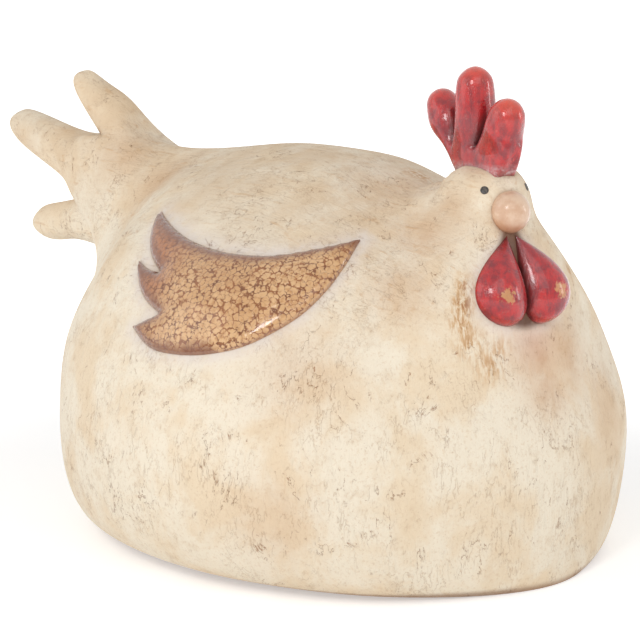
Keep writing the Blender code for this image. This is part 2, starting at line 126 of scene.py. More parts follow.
# Head axis, its turn to the right, and the rings from neck to crown
HEAD_SETBACK = 0.052
HEAD_DROP = 0.040
HEAD_TURN_DEGREES = 14
NECK_RING = (0.042, 0.036, 0.0045, 0.002, 0.020, 0.35)
BEAK_RING = (0.0275, 0.0225, 0.0, 0.0155, 0.006, 0.1)
EYE_RING = (0.0210, 0.0210, 0.0, 0.027, 0.0, 0.0)
CROWN_RING = (0.0150, 0.0150, 0.0, 0.036, 0.0, 0.0)
CROWN_TOP = 0.0395

# Comb: sunk foot, web, crotches and lobes in the plane of the head
COMB_FOOT_BACK = (0.0150, 0.0300)
COMB_FOOT_FRONT = (-0.0112, 0.0300)
COMB_FOOT_STEP = 0.010
COMB_BACK = (0.0290, 0.0430)
COMB_FRONT = (-0.0210, 0.0450)
COMB_HALF_THICKNESS = 0.0085
COMB_SETBACK = 0.004
BACK_CROTCH = (0.0225, 0.0495)
FRONT_CROTCH = (0.0040, 0.0490)
BACK_LOBE = (0.0345, 0.0570, 0.0458, 0.0738, 0.0096, 0.0088)
MIDDLE_LOBE = (0.0120, 0.0595, 0.0122, 0.0884, 0.0104, 0.0095)
FRONT_LOBE = (-0.0130, 0.0570, -0.0188, 0.0738, 0.0102, 0.0092)

# Beak, wattles and eyes, beside, behind and over the head's origin
BEAK_PLACE = (-0.0020, -0.0226, 0.0182)
BEAK_RADII = (0.0100, 0.0100, 0.0106)
WATTLE_TOP = (0.0026, -0.0242, 0.0066)
WATTLE_LOW = (0.0150, -0.0345, -0.0370)
WATTLE_SHIFT = -0.0012
WATTLE_HALF_WIDTH = 0.0150
WATTLE_HALF_DEPTH = 0.0140
WATTLE_TURN = 0.25
WATTLE_FULLNESS = 2.70
WATTLE_TAPER = 1.1
EYE_PLACE = (0.0128, -0.0154, 0.0290)
EYE_RADIUS = 0.0021
EYE_DOME = 0.0004

# Tail fan and feathers, behind the rump and over the top of the back
FAN_LOW = (0.005, -0.084)
FAN_HIGH = (-0.014, -0.0080)
FAN_HALF_THICKNESS = 0.022
FAN_SETBACK = 0.014
LOW_CROTCH = (0.057, -0.045)
HIGH_CROTCH = (0.041, -0.009)
LOW_FEATHER = (0.052, -0.060, 0.1025, -0.0668, 0.014, 0.011)
MIDDLE_FEATHER = (0.064, -0.022, 0.1222, -0.0047, 0.016, 0.012)
HIGH_FEATHER = (0.023, 0.001, 0.0595, 0.0265, 0.014, 0.010)

# Wing seen from the side, from the top tip forwards and round under to the tail
WING_DROP = 0.060
WING_OUTLINE = (
    (0.0655, 0.0270),
    (0.0370, 0.0205),
    (0.0160, 0.0170),
    (-0.0080, 0.0150),
    (-0.0330, 0.0155),
    (-0.0500, 0.0190),
    (-0.0640, 0.0235),
    (-0.0680, 0.0130),
    (-0.0680, 0.0010),
    (-0.0620, -0.0115),
    (-0.0470, -0.0235),
    (-0.0285, -0.0295),
    (-0.0085, -0.0318),
    (0.0110, -0.0310),
    (0.0300, -0.0240),
    (0.0205, -0.0195),
    (0.0130, -0.0155),
    (0.0290, -0.0110),
    (0.0420, -0.0040),
    (0.0520, 0.0050),
    (0.0400, 0.0025),
    (0.0280, 0.0020),
    (0.0440, 0.0085),
    (0.0570, 0.0170),
)
WING_TIPS = (0, 6, 14, 16, 19, 21)
WING_RISE = 0.0035
WING_EDGE_RISE = 0.0006
WING_ROUNDING = 0.0050
WING_DOME = 0.0022
WING_DOME_REACH = 0.012
WING_ROOT_DEPTH = 0.0030
WING_SPACING = 0.0016
WING_STEPS = 6

# Numbers of the outline points between which the wing's rim stays pale, without the dark rim that
# is partly painted shade
WING_PALE_EDGE = (6, 11)

# Rings and hollows of the casting
HOLLOW_LOW_RINGS = (0.0015, 0.014, 0.042, 0.080)
HOLLOW_RING_DROPS = (0.094, 0.060, 0.026)

# Detail of the finished meshes
CAGE_STEPS = 40
SKIN_LEVELS = 4
COMB_LEVELS = 4
FACE_RINGS = 40
FACE_SIDES = 56

# Valley behind the neck that is filled: place, reach and rise, and the way in which it rises
NAPE_FILLS = (
    ((0.0, -0.070, 0.193), 0.013, 0.009),
    ((0.014, -0.075, 0.190), 0.014, 0.007),
    ((-0.014, -0.075, 0.190), 0.014, 0.007),
)
NAPE_RISE = (0.0, 0.45, 0.90)

# Folds between the neck and the back that are smoothed over: place and reach
NAPE_FOLDS = (
    ((0.021, -0.079, 0.187), 0.017),
    ((-0.021, -0.079, 0.187), 0.017),
    ((0.0, -0.066, 0.193), 0.016),
)
NAPE_SMOOTHING = 50

# Brushed stains and soft washes of colour on the body: place, reach and strength
STAINS = (
    ((-0.0395, -0.1185, 0.1540), 0.0055, 1.0),
    ((-0.0430, -0.1190, 0.1460), 0.0065, 1.0),
    ((-0.0460, -0.1215, 0.1370), 0.0075, 0.8),
    ((-0.0440, -0.1255, 0.1270), 0.0090, 0.7),
    ((-0.0355, -0.1307, 0.1162), 0.0100, 0.6),
    ((-0.0280, -0.1330, 0.1240), 0.0070, 0.55),
    ((0.0112, -0.0389, 0.1983), 0.0100, 0.6),
    ((0.0400, -0.1185, 0.1530), 0.0070, 0.6),
)
WASHES = (
    ((-0.0050, -0.1370, 0.1150), 0.0130, 1.0),
    ((-0.0020, -0.1400, 0.1030), 0.0160, 0.8),
    ((0.0200, -0.1358, 0.1150), 0.0220, 0.6),
    ((0.0520, -0.1345, 0.0850), 0.0260, 0.4),
    ((-0.0370, -0.0884, 0.1766), 0.0160, 0.6),
    ((-0.0635, -0.0959, 0.1528), 0.0180, 0.5),
    ((-0.0270, -0.0943, 0.1862), 0.0110, 0.45),
    ((-0.1112, -0.0744, 0.1166), 0.0250, 0.35),
    ((-0.0320, 0.1184, 0.1856), 0.0200, 0.5),
    ((-0.0180, 0.1609, 0.1981), 0.0180, 0.4),
    ((0.0320, 0.1184, 0.1856), 0.0200, 0.5),
    ((0.0900, -0.0900, 0.1200), 0.0240, 0.4),
    ((-0.1307, -0.0732, 0.0448), 0.0220, 0.35),
)
# Painted shade on the chest under the wattles, in a mauve tone: place and reach
SHADE_UNDER_WATTLES = ((-0.0084, -0.1333, 0.1279), 0.0160)

# Reach of the white haze round wings and wattles, and of the painted shade in the groove between
# the wattles
WING_HAZE = 0.0050
WATTLE_HAZE = 0.0040
WATTLE_HAZE_STRENGTH = 0.8
GROOVE_SHADE_REACH = 0.0100
CHEST_ABOVE = 0.10
CHEST_BEFORE = -0.08

# Comb paint: reach of the painted highlight on the tips and of the painted shade in the creases,
# height of the creases over the crotches, and the height and depth of the dusty line at the foot
TIP_HIGHLIGHT_REACH = 0.009
CREASE_SHADE_REACH = 0.012
CREASE_RISE = 0.003
DUST_RISE = 0.002
DUST_DEPTH = 0.004

# Wattle paint: reach of the painted shade at the top and foot, and place and reach of the worn spot
WATTLE_TOP_REACH = 0.016
WATTLE_FOOT_REACH = 0.006
WORN_SHARE = 0.60
WORN_REACH = 0.0070


def quarter(share, fullness):
    """Reach left on a quarter curve at this share of its height."""
    return max(0.0, 1.0 - share**fullness) ** (1.0 / fullness)


def section(z):
    """Half width, chest reach and rump reach of the body at a height."""
    foot = (FOOT_HALF_WIDTH, FOOT_FRONT, FOOT_REAR)
    belly = (BELLY_HALF_WIDTH, BELLY_FRONT, BELLY_REAR)
    if z < BELLY_HEIGHT:
        grown = quarter(1.0 - z / BELLY_HEIGHT, FOOT_FULLNESS)
        return [low + (wide - low) * grown for low, wide in zip(foot, belly)]
    share = min(1.0, (z - BELLY_HEIGHT) / (BACK_HEIGHT - BELLY_HEIGHT))
    fullness = (FLANK_FULLNESS, CHEST_FULLNESS, RUMP_FULLNESS)
    return [wide * quarter(share, power) for wide, power in zip(belly, fullness)]


def shoulder(degrees, z):
    """How far the shoulder stands out of the plain body in this direction and height."""
    turned = abs(min(degrees, 360 - degrees) - SHOULDER_DEGREES) / SHOULDER_SPREAD_DEGREES
    raised = abs(z - BACK_HEIGHT + SHOULDER_DROP) / SHOULDER_REACH
    return SHOULDER_SWELL * max(0.0, 1.0 - turned) * max(0.0, 1.0 - raised)


def body_point(degrees, z):
    half_width, front, rear = section(z)
    angle = math.radians(degrees)
    reach = front if math.cos(angle) > 0 else rear
    lean = max(0.0, (z - BELLY_HEIGHT) / (BACK_HEIGHT - BELLY_HEIGHT)) ** 1.5
    swell = shoulder(degrees, z)
    x = (half_width + swell) * math.sin(angle)
    y = BACK_TOP_SHIFT * lean - (reach + swell) * math.cos(angle)
    return (x, y, z)


def back_height(x):
    share = quarter(abs(x) / BELLY_HALF_WIDTH, FLANK_FULLNESS)
    return BELLY_HEIGHT + (BACK_HEIGHT - BELLY_HEIGHT) * share


def ring_heights(low_rings, drops):
    return [*low_rings, *(BACK_HEIGHT - drop for drop in drops)]


def on_axis(side, behind, over):
    """A place given from the head's origin, before the head is turned."""
    return (side, HEAD_SETBACK - BELLY_FRONT + behind, BACK_HEIGHT - HEAD_DROP + over)


def on_head(side, behind, over):
    """A place given from the head's origin, turned with the face about the head's axis."""
    turn = math.radians(HEAD_TURN_DEGREES)
    turned_side = side * math.cos(turn) + behind * math.sin(turn)
    turned_behind = behind * math.cos(turn) - side * math.sin(turn)
    return on_axis(turned_side, turned_behind, over)


def on_tail(side, behind, over):
    """A place given from the point over the rump at the height of the back."""
    return (side, BELLY_REAR + behind, BACK_HEIGHT + over)


def ellipse_ring(spec):
    half_width, half_length, behind, over, rise, narrowing = spec
    points = []
    for step in range(10):
        angle = math.radians(36 * step)
        back = -math.cos(angle)
        side = half_width * math.sin(angle) * (1.0 - narrowing * back)
        points.append(on_axis(side, behind + half_length * back, over + rise * back))
    return points


def finger_rings(spec, pointed):
    """Six-point rings from the root of a feather or lobe to its rounded or pointed tip."""
    root_y, root_z, tip_y, tip_z, root_half, tip_half = spec
    length = math.hypot(tip_y - root_y, tip_z - root_z)
    out_y, out_z = (tip_y - root_y) / length, (tip_z - root_z) / length
    stations = [
        (0.0, root_half),
        (0.55 * length, tip_half * 1.06),
        (length - 0.30 * tip_half, tip_half * 0.66),
    ]
    if pointed:
        stations[1:] = [
            (0.9 * (length - tip_half), tip_half * 1.04),
            (length - 0.42 * tip_half, tip_half * 0.78),
        ]
    rings = []
    for distance, half in stations:
        ring = []
        for degrees in (210, 270, 330, 30, 90, 150):
            side = -half * math.cos(math.radians(degrees))
            up = half * math.sin(math.radians(degrees))
            y = root_y + out_y * distance - out_z * up
            z = root_z + out_z * distance + out_y * up
            ring.append((side, y, z))
        rings.append(ring)
    return rings


def fan_ring(low, high, crotches, half, setback, out):
    """Ten points round the web that the fingers grow from."""
    across = (-out[1], out[0])
    trim = 0.2 * half
    ends = []
    for (y, z), turn in ((low, 1), (high, -1)):
        inner = (y + across[0] * trim * turn, z + across[1] * trim * turn)
        ends.append(((0.0, y, z), inner))
    sides = [(y - out[0] * setback, z - out[1] * setback) for y, z in crotches]
    (low_end, low_in), (high_end, high_in) = ends
    return [
        (half * 0.7, *low_in),
        low_end,
        (-half * 0.7, *low_in),
        (-half * 0.9, *sides[0]),
        (-half * 0.9, *sides[1]),
        (-half * 0.7, *high_in),
        high_end,
        (half * 0.7, *high_in),
        (half * 0.9, *sides[1]),
        (half * 0.9, *sides[0]),
    ]


def linked(name, data):
    """A new object in the scene."""
    obj = bpy.data.objects.new(name, data)
    bpy.context.scene.collection.objects.link(obj)
    return obj


class Cage:
    """Points and faces of a form that is smoothed afterwards."""

    def __init__(self):
        self.points = []
        self.faces = []

    def add(self, points):
        first = len(self.points)
        self.points.extend(points)
        return list(range(first, len(self.points)))

    def oval(self, centre, side, front, count):
        """A ring of points round a centre, from its two half axes."""
        angles = [2 * math.pi * turn / count for turn in range(count)]
        return self.add([tuple(centre + side * math.cos(a) + front * math.sin(a)) for a in angles])

    def strip(self, low, high):
        """Quads between two rings of the same count."""
        for i in range(len(low)):
            j = (i + 1) % len(low)
            self.faces.append((low[i], low[j], high[j], high[i]))

    def fingers(self, fan, crotches, specs, place, pointed=False):
        """Three fingers that grow from a ring of ten points."""
        first, second = self.add([place(0.0, *crotch) for crotch in crotches])
        bands = (
            [fan[0], fan[1], fan[2], fan[3], first, fan[9]],
            [fan[9], first, fan[3], fan[4], second, fan[8]],
            [fan[8], second, fan[4], fan[5], fan[6], fan[7]],
        )
        for ring, spec in zip(bands, specs):
            for points in finger_rings(spec, pointed):
                longer = self.add([place(*point) for point in points])
                self.strip(ring, longer)
                ring = longer
            if pointed:
                tip = self.add([place(0.0, spec[2], spec[3])])[0]
                self.faces.extend((ring[i], ring[(i + 1) % 6], tip) for i in range(6))
                continue
            self.faces.append((ring[0], ring[1], ring[4], ring[5]))
            self.faces.append((ring[1], ring[2], ring[3], ring[4]))

    def object(self, name):
        mesh = bpy.data.meshes.new(name)
        mesh.from_pydata([tuple(p) for p in self.points], [], self.faces)
        mesh.update()
        return linked(name, mesh)


def body_rings(cage, heights, place, top_heights, gaps):
    """Rings of the body from the foot up, with no points inside the gaps."""
    degrees = list(RING_DEGREES) + [360 - d for d in RING_DEGREES[-2:0:-1]]
    rings = []
    for level, z in enumerate(heights):
        ring = []
        for s, direction in enumerate(degrees):
            height = top_heights.get(s, z) if z == heights[-1] else z
            hidden = gaps and level in (5, 6) and s in (0, 6)
            ring.append(-1 if hidden else cage.add([place(direction, height)])[0])
        rings.append(ring)
    for level in range(len(rings) - 1):
        for s in range(12):
            t = (s + 1) % 12
            if gaps and level in (4, 5, 6) and s in (11, 0, 5, 6):
                continue
            low, high = rings[level], rings[level + 1]
            cage.faces.append((low[s], low[t], high[t], high[s]))
    cage.faces.append(tuple(reversed(rings[0])))
    return rings


def close_back(cage, top, drop):
    """Closes the top ring with a ridge of three points across the back."""
    half = cage.points[top[3]][0] * 0.5
    ridge = cage.add([(x, BACK_TOP_SHIFT, back_height(x) - drop) for x in (-half, 0.0, half)])
    rows = (
        [top[10], top[11], top[0], top[1], top[2]],
        [top[9], *ridge, top[3]],
        [top[8], top[7], top[6], top[5], top[4]],
    )
    for near, far in zip(rows, rows[1:]):
        for i in range(4):
            cage.faces.append((near[i], near[i + 1], far[i + 1], far[i]))


def opening(rings, middle):
    """The ten body points round an opening of two sectors by three rows."""
    a, b = (middle - 1) % 12, (middle + 1) % 12
    low, mid, high, top = rings[4:8]
    upper = [low[b], mid[b], high[b], top[b], top[middle]]
    return [low[middle], *upper, top[a], high[a], mid[a], low[a]]


def add_head(cage, rings):
    ring = opening(rings, 0)
    for spec in (NECK_RING, BEAK_RING, EYE_RING, CROWN_RING):
        higher = cage.add(ellipse_ring(spec))
        cage.strip(ring, higher)
        ring = higher
    half = CROWN_RING[1] / 3
    front, back = cage.add([on_axis(0.0, -half, CROWN_TOP), on_axis(0.0, half, CROWN_TOP)])
    r = ring
    cage.faces.append((r[9], r[0], front, r[8]))
    cage.faces.append((r[0], r[1], r[2], front))
    cage.faces.append((r[8], front, back, r[7]))
    cage.faces.append((front, r[2], r[3], back))
    cage.faces.append((r[7], back, r[5], r[6]))
    cage.faces.append((back, r[3], r[4], r[5]))


def add_tail(cage, rings):
    root = opening(rings, 6)
    crotches = (LOW_CROTCH, HIGH_CROTCH)
    ring = fan_ring(FAN_LOW, FAN_HIGH, crotches, FAN_HALF_THICKNESS, FAN_SETBACK, (1.0, 0.0))
    fan = cage.add([on_tail(*point) for point in ring])
    cage.strip(root[-1:] + root[:-1], fan)
    cage.fingers(fan, crotches, (LOW_FEATHER, MIDDLE_FEATHER, HIGH_FEATHER), on_tail)


def evaluated_points(obj):
    bpy.context.view_layer.update()
    mesh = obj.evaluated_get(bpy.context.evaluated_depsgraph_get()).data
    points = np.empty(len(mesh.vertices) * 3)
    mesh.vertices.foreach_get("co", points)
    return points


def smooth_through(obj, levels, creased=()):
    """Moves a cage until its smooth surface passes through its points, and keeps that surface."""
    if creased:
        crease = obj.data.attributes.new("crease_edge", "FLOAT", "EDGE")
        for edge in obj.data.edges:
            if set(edge.vertices) <= set(creased):
                crease.data[edge.index].value = 1.0
    smooth = obj.modifiers.new("Smooth", "SUBSURF")
    smooth.levels = 1
    count = len(obj.data.vertices)
    goal = np.empty(count * 3)
    obj.data.vertices.foreach_get("co", goal)
    cage = goal.copy()
    for _ in range(CAGE_STEPS):
        reached = evaluated_points(obj)
        cage += goal - reached[: count * 3]
        obj.data.vertices.foreach_set("co", cage)
        obj.data.update()
    smooth.levels = levels
    keep_mesh(obj)


def keep_mesh(obj):
    """Replaces an object's mesh and modifiers by the mesh that they make."""
    bpy.context.view_layer.update()
    graph = bpy.context.evaluated_depsgraph_get()
    mesh = bpy.data.meshes.new_from_object(obj.evaluated_get(graph))
    obj.modifiers.clear()
    obj.data = mesh


def soften(obj, degrees):
    """Smooth shading, with a hard edge where faces meet at more than this angle."""
    obj.data.shade_smooth()
    obj.data.set_sharp_from_angle(angle=math.radians(degrees))


def make_core():
    """Body, head and tail as one smooth skin."""
    cage = Cage()
    drops = {0: NAPE_DROP, 1: NAPE_SIDE_DROP, 11: NAPE_SIDE_DROP, 6: SADDLE_DROP}
    tops = {s: BACK_HEIGHT - drop for s, drop in drops.items()}
    rings = body_rings(cage, ring_heights(LOW_RINGS, HIGH_RING_DROPS), body_point, tops, True)
    close_back(cage, rings[-1], 0.0)
    add_head(cage, rings)
    add_tail(cage, rings)
    obj = cage.object("body_skin")
    smooth_through(obj, SKIN_LEVELS, rings[0])
    smooth_nape(obj)
    return obj


def smooth_nape(obj):
    """Lets the neck run softly into the back and the shoulders."""
    points = mesh_points(obj)
    raised = [rise * nearness(points, place, reach) for place, reach, rise in NAPE_FILLS]
    points += np.max(raised, axis=0)[:, None] * np.array(NAPE_RISE)
    obj.data.vertices.foreach_set("co", points.ravel())
    obj.data.update()
    group = obj.vertex_groups.new(name="nape")
    weights = np.max([nearness(points, *fold) for fold in NAPE_FOLDS], axis=0)
    for i in np.flatnonzero(weights > 0.02):
        group.add([int(i)], float(weights[i]), "REPLACE")
    soft = obj.modifiers.new("Soft nape", "SMOOTH")
    soft.vertex_group = group.name
    soft.factor = 0.5
    soft.iterations = NAPE_SMOOTHING
    keep_mesh(obj)


def make_comb():
    cage = Cage()
    crotches = (BACK_CROTCH, FRONT_CROTCH)
    back, over = COMB_FOOT_BACK
    front = COMB_FOOT_FRONT[0]
    sunk = ((back - COMB_FOOT_STEP, over), (front + COMB_FOOT_STEP, over))
    out = (0.0, 1.0)
    foot = fan_ring(COMB_FOOT_BACK, COMB_FOOT_FRONT, sunk, COMB_HALF_THICKNESS, 0.0, out)
    web = fan_ring(COMB_BACK, COMB_FRONT, crotches, COMB_HALF_THICKNESS, COMB_SETBACK, out)
    foot = cage.add([on_head(*point) for point in foot])
    web = cage.add([on_head(*point) for point in web])
    cage.strip(foot, web)
    cage.fingers(web, crotches, (BACK_LOBE, MIDDLE_LOBE, FRONT_LOBE), on_head, True)
    cage.faces.append(tuple(reversed(foot)))
    obj = cage.object("comb")
    smooth_through(obj, COMB_LEVELS)
    soften(obj, 60)
    return obj


def close_loft(cage, low, rings, high):
    around = len(rings[0])
    for below, above in zip(rings, rings[1:]):
        cage.strip(below, above)
    for i in range(around):
        j = (i + 1) % around
        cage.faces.append((low, rings[0][j], rings[0][i]))
        cage.faces.append((high, rings[-1][i], rings[-1][j]))


def ball(name, centre, axes):
    """A closed ball with the given half axes, its poles along the last one."""
    side, front, up = (Vector(axis) for axis in axes)
    centre = Vector(centre)
    cage = Cage()
    low = cage.add([tuple(centre - up)])[0]
    rings = []
    for step in range(1, FACE_RINGS):
        tilt = math.pi * step / FACE_RINGS
        wide = math.sin(tilt)
        rings.append(cage.oval(centre - up * math.cos(tilt), side * wide, front * wide, FACE_SIDES))
    high = cage.add([tuple(centre + up)])[0]
    close_loft(cage, low, rings, high)
    obj = cage.object(name)
    soften(obj, 80)
    return obj


def make_beak():
    axes = [[r if i == j else 0.0 for j in range(3)] for i, r in enumerate(BEAK_RADII)]
    return ball("beak", on_head(*BEAK_PLACE), axes)


def make_eye(name, side, skin):
    """A flat bead set in the skin."""
    place = Vector(on_head(EYE_PLACE[0] * side, *EYE_PLACE[1:]))
    hit, normal, _, _ = skin.find_nearest(place)
    across = normal.cross(Vector((0.0, 0.0, 1.0))).normalized() * EYE_RADIUS
    over = across.cross(normal).normalized() * EYE_RADIUS
    return ball(name, hit, (across, over, normal * EYE_DOME))


def wattle_centre(side, share):
    """A point on the bowed middle line of a wattle, from its top to its lowest point."""
    spread = 1.0 - (1.0 - share) ** 2
    beside = WATTLE_TOP[0] + (WATTLE_LOW[0] - WATTLE_TOP[0]) * spread
    behind = WATTLE_TOP[1] + (WATTLE_LOW[1] - WATTLE_TOP[1]) * share
    over = WATTLE_TOP[2] + (WATTLE_LOW[2] - WATTLE_TOP[2]) * share
    return Vector(on_head(beside * side + WATTLE_SHIFT * (2.0 - share), behind, over))


def wattle_front(side):
    """The way that the front of a wattle faces."""
    return Vector(on_head(WATTLE_TURN * side, -1.0, 0.0)) - Vector(on_head(0.0, 0.0, 0.0))


def make_wattle(name, side):
    """A drop that is pointed at the beak and round at the foot."""
    axis = wattle_centre(side, 1.0) - wattle_centre(side, 0.0)
    across = axis.cross(wattle_front(side)).normalized()
    depth = across.cross(axis).normalized()
    cage = Cage()
    rings = []
    for step in range(1, FACE_RINGS):
        share = 0.5 + 0.5 * math.cos(math.pi * step / FACE_RINGS)
        full = WATTLE_FULLNESS * share**WATTLE_TAPER * math.sqrt(1.0 - share)
        wide, deep = across * (WATTLE_HALF_WIDTH * full), depth * (WATTLE_HALF_DEPTH * full)
        rings.append(cage.oval(wattle_centre(side, share), wide, deep, FACE_SIDES))
    low = cage.add([tuple(wattle_centre(side, 1.0))])[0]
    top = cage.add([tuple(wattle_centre(side, 0.0))])[0]
    close_loft(cage, low, rings, top)
    obj = cage.object(name)
    soften(obj, 80)
    return obj


def curved_outline(steps=WING_STEPS):
    """The wing outline as a smooth curve through its points, with its tips left sharp."""
    points = [np.array(p) for p in WING_OUTLINE]
    count = len(points)
    outline = []
    for i in range(count):
        here, there = points[i], points[(i + 1) % count]
        before = here if i in WING_TIPS else points[i - 1]
        after = there if (i + 1) % count in WING_TIPS else points[(i + 2) % count]
        for step in range(steps):
            t = step / steps
            bend = (before - there) * (-t + 2 * t**2 - t**3)
            bend += (after - here) * (t**3 - t**2)
            straight = here + (there - here) * (3 * t**2 - 2 * t**3)
            outline.append(straight + 0.5 * bend)
    return np.array(outline)


def inside(points, outline):
    """Whether each flat point lies within a closed outline."""
    within = np.zeros(len(points), bool)
    for (ay, az), (by, bz) in zip(outline, np.roll(outline, -1, axis=0)):
        spans = (az > points[:, 1]) != (bz > points[:, 1])
        if az != bz:
            cross = ay + (points[:, 1] - az) * (by - ay) / (bz - az)
            within ^= spans & (points[:, 0] < cross)
    return within


def edge_distance(points, outline, skipped=range(0)):
    """Distance from each flat point to a closed outline, without the skipped sides."""
    best = np.full(len(points), 1.0)
    for number, (start, end) in enumerate(zip(outline, np.roll(outline, -1, axis=0))):
        if number in skipped:
            continue
        along = end - start
        share = np.clip((points - start) @ along / (along @ along), 0.0, 1.0)
        best = np.minimum(best, np.linalg.norm(points - start - share[:, None] * along, axis=1))
    return best


def wing_points(outline):
    """The outline, then a field of points inside it."""
    low, high = outline.min(axis=0), outline.max(axis=0)
    row = WING_SPACING * math.sqrt(3.0) / 2.0
    field = []
    for j in range(int((high[1] - low[1]) / row) + 1):
        for i in range(int((high[0] - low[0]) / WING_SPACING) + 1):
            field.append((low[0] + (i + 0.5 * (j % 2)) * WING_SPACING, low[1] + j * row))
    field = np.array(field)
    kept = inside(field, outline) & (edge_distance(field, outline) > 0.5 * WING_SPACING)
    return np.concatenate([outline, field[kept]])


def make_wing(name, side, skin):
    """A plate with a rounded edge that follows the flank and stands a little proud of it."""
    outline = curved_outline()
    count = len(outline)
    edges = [(i, (i + 1) % count) for i in range(count)]
    flat = [Vector(p) for p in wing_points(outline)]
    flat, edges, faces, _, _, _ = delaunay_2d_cdt(flat, edges, [], 1, 1e-7)
    from_edge = edge_distance(np.array([tuple(p) for p in flat]), outline)
    upper = []
    lower = []
    for spot, distance in zip(flat, from_edge):
        start = Vector((side * 2 * BELLY_HALF_WIDTH, spot.x, spot.y + BACK_HEIGHT - WING_DROP))
        hit, normal, _, _ = skin.ray_cast(start, Vector((-side, 0.0, 0.0)))
        slope = 1.0 - min(distance / WING_ROUNDING, 1.0)
        rise = WING_EDGE_RISE + (WING_RISE - WING_EDGE_RISE) * math.sqrt(1.0 - slope**2)
        rise += WING_DOME * (1.0 - math.exp(-((distance / WING_DOME_REACH) ** 2)))
        upper.append(tuple(hit + normal * rise))
        lower.append(tuple(hit - normal * WING_ROOT_DEPTH))
    cage = Cage()
    top = cage.add(upper)
    bottom = cage.add(lower)
    used = set()
    for a, b, c in faces:
        used.update(((a, b), (b, c), (c, a)))
        cage.faces.append((top[a], top[b], top[c]))
        cage.faces.append((bottom[c], bottom[b], bottom[a]))
    for start, end in used:
        if (end, start) not in used:
            cage.faces.append((top[end], top[start], bottom[start], bottom[end]))
    if side < 0:
        cage.faces = [tuple(reversed(face)) for face in cage.faces]
    obj = cage.object(name)
    soften(obj, 60)
    pale = range(WING_PALE_EDGE[0] * WING_STEPS, WING_PALE_EDGE[1] * WING_STEPS)
    from_dark_edge = edge_distance(np.array([tuple(p) for p in flat]), outline, pale)
    store(obj, "from_edge", np.concatenate([from_edge, from_edge]))
    store(obj, "from_dark_edge", np.concatenate([from_dark_edge, from_dark_edge]))
    return obj


def store(obj, name, values):
    """Keeps one number for each point, for the material to read."""
    attribute = obj.data.attributes.new(name, "FLOAT", "POINT")
    attribute.data.foreach_set("value", np.asarray(values, np.float32))


def inner_point(degrees, z):
    """A body point moved inwards by the wall."""
    step = 0.0005
    here = Vector(body_point(degrees, z))
    above = Vector(body_point(degrees, min(z + step, BACK_HEIGHT)))
    below = Vector(body_point(degrees, max(z - step, 0.0)))
    axis = Vector((0.0, BACK_TOP_SHIFT, z))
    outwards = Vector((here.x, here.y - axis.y, 0.0)).normalized()
    slope = (above - below).dot(outwards) / (above.z - below.z)
    normal = (outwards - Vector((0.0, 0.0, slope))).normalized()
    return tuple(here - normal * WALL)


def make_hollow():
    """The space inside the body, a wall's thickness from the skin."""
    cage = Cage()
    heights = ring_heights(HOLLOW_LOW_RINGS, HOLLOW_RING_DROPS)
    rings = body_rings(cage, heights, inner_point, {}, False)
    close_back(cage, rings[-1], WALL)
    obj = cage.object("hollow")
    smooth_through(obj, 2, rings[0])
    return obj


def make_drain():
    """The plug that cuts the drain hole."""
    cage = Cage()
    axes = Vector((DRAIN_RADIUS, 0.0, 0.0)), Vector((0.0, DRAIN_RADIUS, 0.0))
    low, high = [cage.oval(Vector((0.0, DRAIN_Y, z)), *axes, DRAIN_SIDES) for z in DRAIN_LEVELS]
    cage.strip(low, high)
    cage.faces.append(tuple(reversed(low)))
    cage.faces.append(tuple(high))
    return cage.object("drain")


def hollow_out(skin, tools):
    """Removes the hollow and the drain hole from the skin's solid."""
    for tool in tools:
        cut = skin.modifiers.new(tool.name, "BOOLEAN")
        cut.operation = "DIFFERENCE"
        cut.solver = "MANIFOLD"
        cut.object = tool
        keep_mesh(skin)
        bpy.data.objects.remove(tool)
    soften(skin, 50)


def mesh_points(obj):
    points = np.empty(len(obj.data.vertices) * 3)
    obj.data.vertices.foreach_get("co", points)
    return points.reshape(-1, 3)


def nearness(points, place, reach):
    """One at a place, falling smoothly to nothing with distance."""
    distance = np.linalg.norm(points - np.array(place), axis=1)
    return np.exp(-((distance / reach) ** 2))


def paint_skin(skin, wattles):
    """Stores where the skin is hazy or stained, and where it gets painted shade under and between
    the wattles.
    """
    points = mesh_points(skin)
    outline = curved_outline(2)
    flat = np.stack([points[:, 1], points[:, 2] - BACK_HEIGHT + WING_DROP], axis=1)
    away = edge_distance(flat, outline)
    away[np.abs(points[:, 0]) < 0.5 * FOOT_HALF_WIDTH] = 1.0
    haze = np.exp(-((away / WING_HAZE) ** 2))
    graph = bpy.context.evaluated_depsgraph_get()
    trees = [BVHTree.FromObject(wattle, graph) for wattle in wattles]
    chest = (points[:, 2] > CHEST_ABOVE) & (points[:, 1] < CHEST_BEFORE)
    # Painted shade in the groove between the wattles, on the chest
    groove_shade = np.zeros(len(points))
    for i in np.flatnonzero(chest):
        gaps = [tree.find_nearest(Vector(points[i]))[3] for tree in trees]
        groove_shade[i] = math.exp(-((sum(gaps) / GROOVE_SHADE_REACH) ** 2))
        hazy = WATTLE_HAZE_STRENGTH * math.exp(-((min(gaps) / WATTLE_HAZE) ** 2))
        haze[i] = max(haze[i], hazy)
    store(skin, "haze", haze)
    store(skin, "groove_shade", groove_shade)
    for name, marks in (("stain", STAINS), ("wash", WASHES)):
        shares = [strength * nearness(points, place, reach) for place, reach, strength in marks]
        store(skin, name, np.max(shares, axis=0))
    # Painted shade under the wattles
    store(skin, "shade_under_wattles", nearness(points, *SHADE_UNDER_WATTLES))


